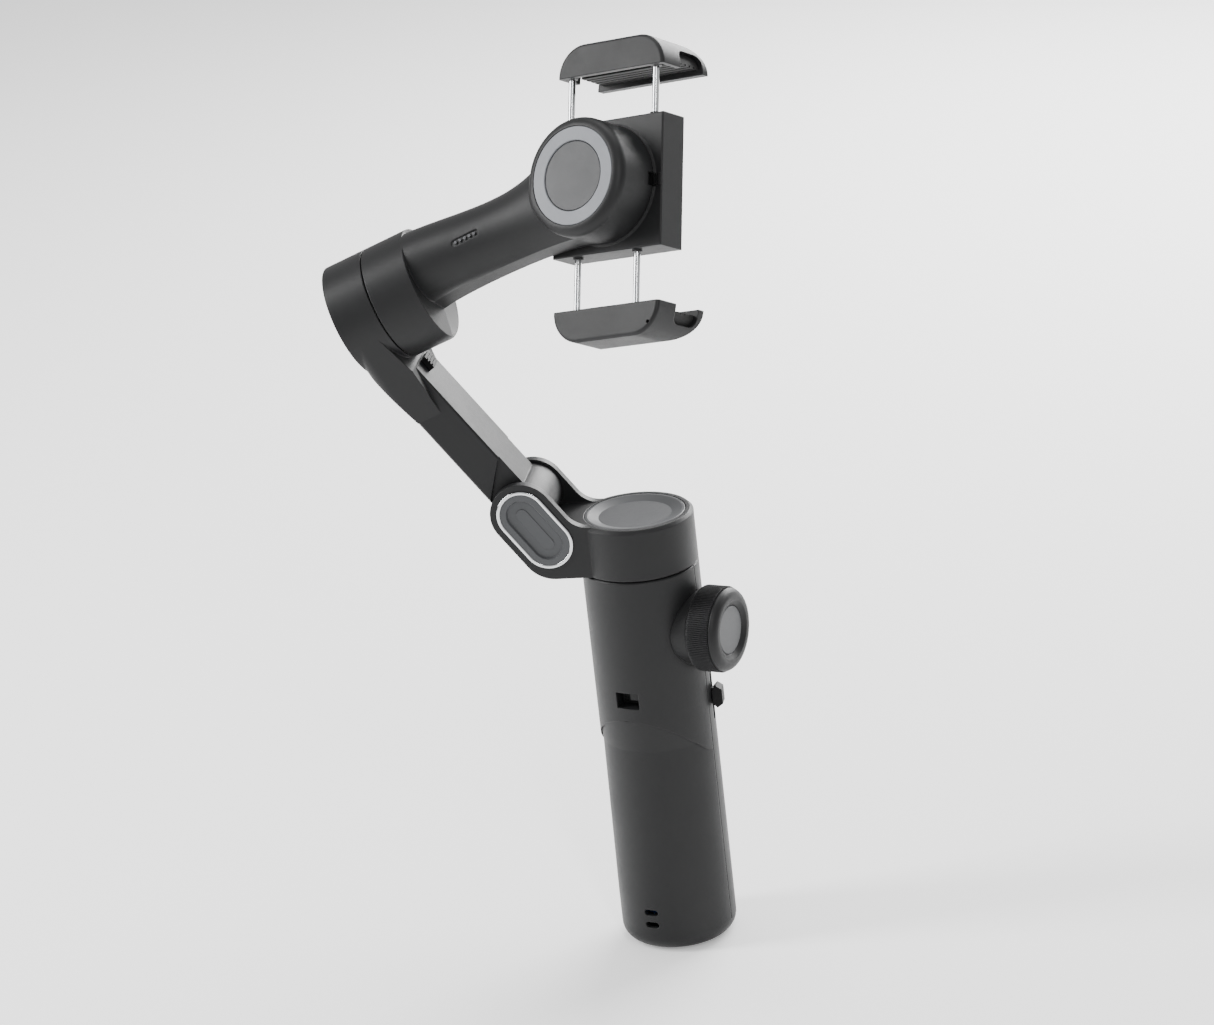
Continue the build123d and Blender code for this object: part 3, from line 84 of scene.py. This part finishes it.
def math_node(tree, operation, first, second):
    """Math node of two sockets or numbers."""
    node = tree.nodes.new("ShaderNodeMath")
    node.operation = operation
    for socket, value in zip(node.inputs, (first, second)):
        if isinstance(value, (int, float)):
            socket.default_value = value
        else:
            tree.links.new(value, socket)
    return node.outputs["Value"]


def mix_colour(tree, factor, first, second):
    """Mix of two colours or colour sockets."""
    node = tree.nodes.new("ShaderNodeMix")
    node.data_type = "RGBA"
    colour_inputs = [s for s in node.inputs if s.type == "RGBA"]
    tree.links.new(factor, node.inputs[0])
    for socket, value in zip(colour_inputs, (first, second)):
        if isinstance(value, tuple):
            socket.default_value = value
        else:
            tree.links.new(value, socket)
    return [s for s in node.outputs if s.type == "RGBA"][0]


def edge_mask(tree, radius):
    """1 on worn edges and 0 on flats: how far the rounded normal leaves the true one."""
    rounded = tree.nodes.new("ShaderNodeBevel")
    rounded.samples = bevel_samples
    rounded.inputs["Radius"].default_value = radius
    geometry = tree.nodes.new("ShaderNodeNewGeometry")
    dot = tree.nodes.new("ShaderNodeVectorMath")
    dot.operation = "DOT_PRODUCT"
    tree.links.new(rounded.outputs["Normal"], dot.inputs[0])
    tree.links.new(geometry.outputs["Normal"], dot.inputs[1])
    return ramp(tree, dot.outputs["Value"], 0.999, 0.90, 0.0, 1.0)


def surface(
    name,
    colour,
    rough,
    metal=0.0,
    grain=0.0,
    grain_size=0.00018,
    mottle=0.04,
    wear=0.12,
    edge=0.00018,
    coat=0.0,
    specular=0.5,
    streak=None,
    streak_depth=0.0,
    scratches=0.0,
):
    """Moulded, turned or blasted finish: fine grain, uneven sheen, soft edges and slight wear on them."""
    material = bpy.data.materials.new(name)
    material.use_nodes = True
    tree = material.node_tree
    shader = tree.nodes["Principled BSDF"]
    place = tree.nodes.new("ShaderNodeTexCoord").outputs["Object"]
    shader.inputs["Metallic"].default_value = metal
    shader.inputs["Specular IOR Level"].default_value = specular
    shader.inputs["Coat Weight"].default_value = coat
    shader.inputs["Coat Roughness"].default_value = 0.18
    cloud = noise(tree, place, 70.0, 4.0, 0.6)
    haze = noise(tree, place, 900.0, 3.0, 0.6)
    worn = edge_mask(tree, edge * 1.6)
    # colour: faint clouding, and lighter worn edges broken up by the clouding
    shade = tuple(c * (1 - mottle) for c in colour) + (1.0,)
    lit = tuple(min(1.0, c * (1 + mottle)) for c in colour) + (1.0,)
    base = mix_colour(tree, cloud, shade, lit)
    worn_colour = tuple(min(1.0, c * 1.35 + 0.012) for c in colour) + (1.0,)
    broken = math_node(tree, "MULTIPLY", worn, ramp(tree, haze, 0.35, 0.65, 0.15, 1.0))
    worn_share = math_node(tree, "MULTIPLY", broken, wear)
    tree.links.new(mix_colour(tree, worn_share, base, worn_colour), shader.inputs["Base Color"])
    # roughness: uneven sheen, a little polished on the edges
    sheen = ramp(tree, cloud, 0.3, 0.7, rough - 0.035, rough + 0.035)
    fine = ramp(tree, haze, 0.3, 0.7, -0.02, 0.02)
    sheen = math_node(tree, "ADD", sheen, fine)
    polish = math_node(tree, "MULTIPLY", broken, -0.08)
    tree.links.new(math_node(tree, "ADD", sheen, polish), shader.inputs["Roughness"])
    # normal: rounded edges, then grain, then machining streaks or scratches
    rounded = tree.nodes.new("ShaderNodeBevel")
    rounded.samples = bevel_samples
    rounded.inputs["Radius"].default_value = edge
    normal = rounded.outputs["Normal"]
    layers = []
    if grain:
        grains = noise(tree, place, 1.0 / grain_size, 2.0, 0.55)
        layers.append((grains, grain, grain_size * 0.25))
    if streak is not None:
        axis_scale, size = streak
        mapping = tree.nodes.new("ShaderNodeMapping")
        mapping.inputs["Scale"].default_value = axis_scale
        tree.links.new(place, mapping.inputs["Vector"])
        lines = noise(tree, mapping.outputs["Vector"], 1.0 / size, 3.0, 0.7)
        layers.append((lines, streak_depth, size * 0.4))
    if scratches:
        wide = tree.nodes.new("ShaderNodeTexVoronoi")
        wide.feature = "DISTANCE_TO_EDGE"
        wide.inputs["Scale"].default_value = 260.0
        wide.inputs["Randomness"].default_value = 1.0
        bent = tree.nodes.new("ShaderNodeMapping")
        bent.inputs["Scale"].default_value = (1.0, 0.12, 0.35)
        bent.inputs["Rotation"].default_value = (0.3, 0.5, 0.8)
        tree.links.new(place, bent.inputs["Vector"])
        tree.links.new(bent.outputs["Vector"], wide.inputs["Vector"])
        layers.append((ramp(tree, wide.outputs["Distance"], 0.0, 0.02, 0.0, 1.0), scratches, 0.00002))
    for height, strength, distance in layers:
        bump = tree.nodes.new("ShaderNodeBump")
        bump.inputs["Strength"].default_value = strength
        bump.inputs["Distance"].default_value = distance
        tree.links.new(height, bump.inputs["Height"])
        tree.links.new(normal, bump.inputs["Normal"])
        normal = bump.outputs["Normal"]
    tree.links.new(normal, shader.inputs["Normal"])
    return material


finishes = {
    "body_dark": surface(
        "body_dark",
        (0.0105, 0.0107, 0.0112),
        0.46, grain=0.4, wear=0.3, edge=0.00045, specular=0.24,
    ),
    "body_black": surface(
        "body_black",
        (0.0035, 0.0035, 0.0038),
        0.50, grain=0.45, wear=0.2, specular=0.14,
    ),
    "ring_grey": surface(
        "ring_grey",
        (0.150, 0.156, 0.168),
        0.52, metal=0.25, grain=0.6, grain_size=0.0002, mottle=0.06,
    ),
    "disc_grey": surface(
        "disc_grey",
        (0.032, 0.033, 0.035),
        0.42, grain=0.15, scratches=0.04, specular=0.28,
    ),
    "cover_grey": surface(
        "cover_grey",
        (0.055, 0.057, 0.060),
        0.42, grain=0.15, scratches=0.04, specular=0.3,
    ),
    "chrome": surface(
        "chrome",
        (0.66, 0.67, 0.68),
        0.10, metal=1.0, mottle=0.02, scratches=0.06, wear=0.1,
    ),
    "wheel_rubber": surface(
        "wheel_rubber",
        (0.012, 0.012, 0.013),
        0.55, specular=0.3, grain=0.3, grain_size=0.00012, edge=0.00005,
    ),
    "pad_rubber": surface(
        "pad_rubber",
        (0.010, 0.010, 0.010),
        0.72, grain=0.8, grain_size=0.0003, mottle=0.12,
    ),
    "steel": surface(
        "steel",
        (0.52, 0.53, 0.54),
        0.26, metal=1.0, streak=((1, 1, 12), 0.0003), streak_depth=0.3,
    ),
    "winding": surface(
        "winding",
        (0.50, 0.21, 0.08),
        0.38, metal=0.8, streak=((1, 1, 0.2), 0.0003), streak_depth=0.9,
    ),
    "magnet_steel": surface(
        "magnet_steel",
        (0.38, 0.39, 0.40),
        0.32, metal=1.0, streak=((1, 1, 9), 0.0004), streak_depth=0.4,
    ),
    "thread_brass": surface(
        "thread_brass",
        (0.60, 0.43, 0.17),
        0.28, metal=1.0, streak=((1, 1, 9), 0.0005), streak_depth=0.8,
    ),
    "cell": surface(
        "cell",
        (0.02, 0.07, 0.22),
        0.30, grain=0.2, coat=0.5, mottle=0.08,
    ),
    "board": surface(
        "board",
        (0.012, 0.10, 0.045),
        0.34, grain=0.4, coat=0.4, mottle=0.2,
    ),
    "contact_dark": surface(
        "contact_dark",
        (0.045, 0.045, 0.048),
        0.34, metal=0.8, grain=0.2, grain_size=0.0001,
    ),
    "socket_steel": surface(
        "socket_steel",
        (0.45, 0.46, 0.47),
        0.30, metal=1.0, streak=((8, 1, 8), 0.0004), streak_depth=0.4,
    ),
    "button_grey": surface(
        "button_grey",
        (0.028, 0.028, 0.029),
        0.46, grain=0.3, specular=0.3,
    ),
    "button_red": surface(
        "button_red",
        (0.13, 0.006, 0.005),
        0.44, grain=0.3, specular=0.3,
    ),
}

slot_of = {entry["node"]: entry["material_slot"] for entry in frame["record"]["subparts"]}
for node_name, node in frame["nodes"].items():
    node.data.materials.clear()
    node.data.materials.append(finishes[slot_of[node_name]])

# --- Focus wheel's knurl ------------------------------------------------------------------------
wheel_height = 0.100
wheel_radius = 0.0128
knurl_depth = 0.0004
knurl_count = 130


def ring_mesh(name, rows, count):
    """Closed ring about the wheel's axis.

    Each row is a distance from the pan axis, a radius on a ridge and a radius in a groove.
    """
    vertices = []
    faces = []
    steps = count * 4
    for distance, ridge, groove in rows:
        for step in range(steps):
            angle = 2 * math.pi * step / steps
            radius = (ridge, ridge, groove, groove)[step % 4]
            vertices.append((-distance, radius * math.cos(angle), wheel_height + radius * math.sin(angle)))
    total = len(rows)
    for row in range(total):
        following = (row + 1) % total
        for step in range(steps):
            beside = (step + 1) % steps
            here = row * steps
            there = following * steps
            faces.append((here + step, here + beside, there + beside, there + step))
    mesh = bpy.data.meshes.new(name)
    mesh.from_pydata(vertices, [], faces)
    mesh.validate()
    piece = bpy.data.objects.new(name, mesh)
    bpy.context.scene.collection.objects.link(piece)
    return piece


knurl_rows = [
    (0.0188, 0.0021, 0.0021),
    (0.0188, wheel_radius - 0.0007, wheel_radius - 0.0008),
    (0.0194, wheel_radius - 0.0001, wheel_radius - 0.0001 - knurl_depth),
    (0.0197, wheel_radius, wheel_radius - knurl_depth),
    (0.0259, wheel_radius, wheel_radius - knurl_depth),
    (0.0262, wheel_radius - 0.0003, wheel_radius - 0.0003 - knurl_depth),
    (0.0262, 0.0021, 0.0021),
]
knurl = ring_mesh("wheel_knurl", knurl_rows, knurl_count)
knurl.data.materials.append(finishes["wheel_rubber"])
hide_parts("wheel_grip")
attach(knurl, "focus_wheel")

# --- Camera -------------------------------------------------------------------------------------
right = Vector((-0.8839, -0.4555, -0.106))
up = Vector((0.0701, -0.3531, 0.933))
back = Vector((-0.4624, 0.8172, 0.344))
camera_data = bpy.data.cameras.new("camera")
camera_data.sensor_width = 36.0
camera_data.lens = 147.5
camera_data.clip_start = 0.05
camera = bpy.data.objects.new("camera", camera_data)
camera_place = Matrix.Translation((-0.668, 1.197, 0.638))
camera.matrix_world = camera_place @ Matrix((right, up, back)).transposed().to_4x4()
bpy.context.scene.collection.objects.link(camera)
bpy.context.scene.camera = camera

# --- Studio -------------------------------------------------------------------------------------
floor_mesh = bpy.data.meshes.new("floor")
floor_mesh.from_pydata([(-6, -6, 0), (6, -6, 0), (6, 6, 0), (-6, 6, 0)], [], [(0, 1, 2, 3)])
floor = bpy.data.objects.new("floor", floor_mesh)
floor.location.z = cad_low[2] - 0.0002
floor_material = bpy.data.materials.new("floor")
floor_material.use_nodes = True
floor_shader = floor_material.node_tree.nodes["Principled BSDF"]
floor_shader.inputs["Base Color"].default_value = (0.92, 0.92, 0.92, 1)
floor_shader.inputs["Roughness"].default_value = 0.85
floor_shader.inputs["Emission Color"].default_value = (1.0, 1.0, 1.0, 1)
floor_shader.inputs["Emission Strength"].default_value = 0.25
floor_mesh.materials.append(floor_material)
bpy.context.scene.collection.objects.link(floor)

world = bpy.data.worlds.new("studio")
world.use_nodes = True
world.node_tree.nodes["Background"].inputs["Color"].default_value = (1.0, 1.0, 1.0, 1)
world.node_tree.nodes["Background"].inputs["Strength"].default_value = 0.62
bpy.context.scene.world = world

target = Vector((0.0, 0.01, 0.15))


def softbox(name, toward, distance, width, height, power):
    """Area light at a direction (right, up, back) from the object, seen from the camera, facing it."""
    direction = (right * toward[0] + up * toward[1] + back * toward[2]).normalized()
    data = bpy.data.lights.new(name, "AREA")
    data.shape = "RECTANGLE"
    data.size = width
    data.size_y = height
    data.energy = power
    light = bpy.data.objects.new(name, data)
    light.location = target + direction * distance
    light.rotation_euler = direction.to_track_quat("Z", "Y").to_euler()
    bpy.context.scene.collection.objects.link(light)


softbox("key_left", (-1.0, 0.35, 0.15), 0.95, 0.22, 0.8, 11.0)
softbox("back_right", (0.6, 0.85, -0.8), 1.1, 0.9, 0.5, 24.0)
softbox("front_strip", (0.12, 0.3, 1.0), 1.3, 0.10, 0.9, 5.5)
softbox("top_fill", (0.0, 1.0, 0.1), 1.2, 0.9, 0.5, 8.0)
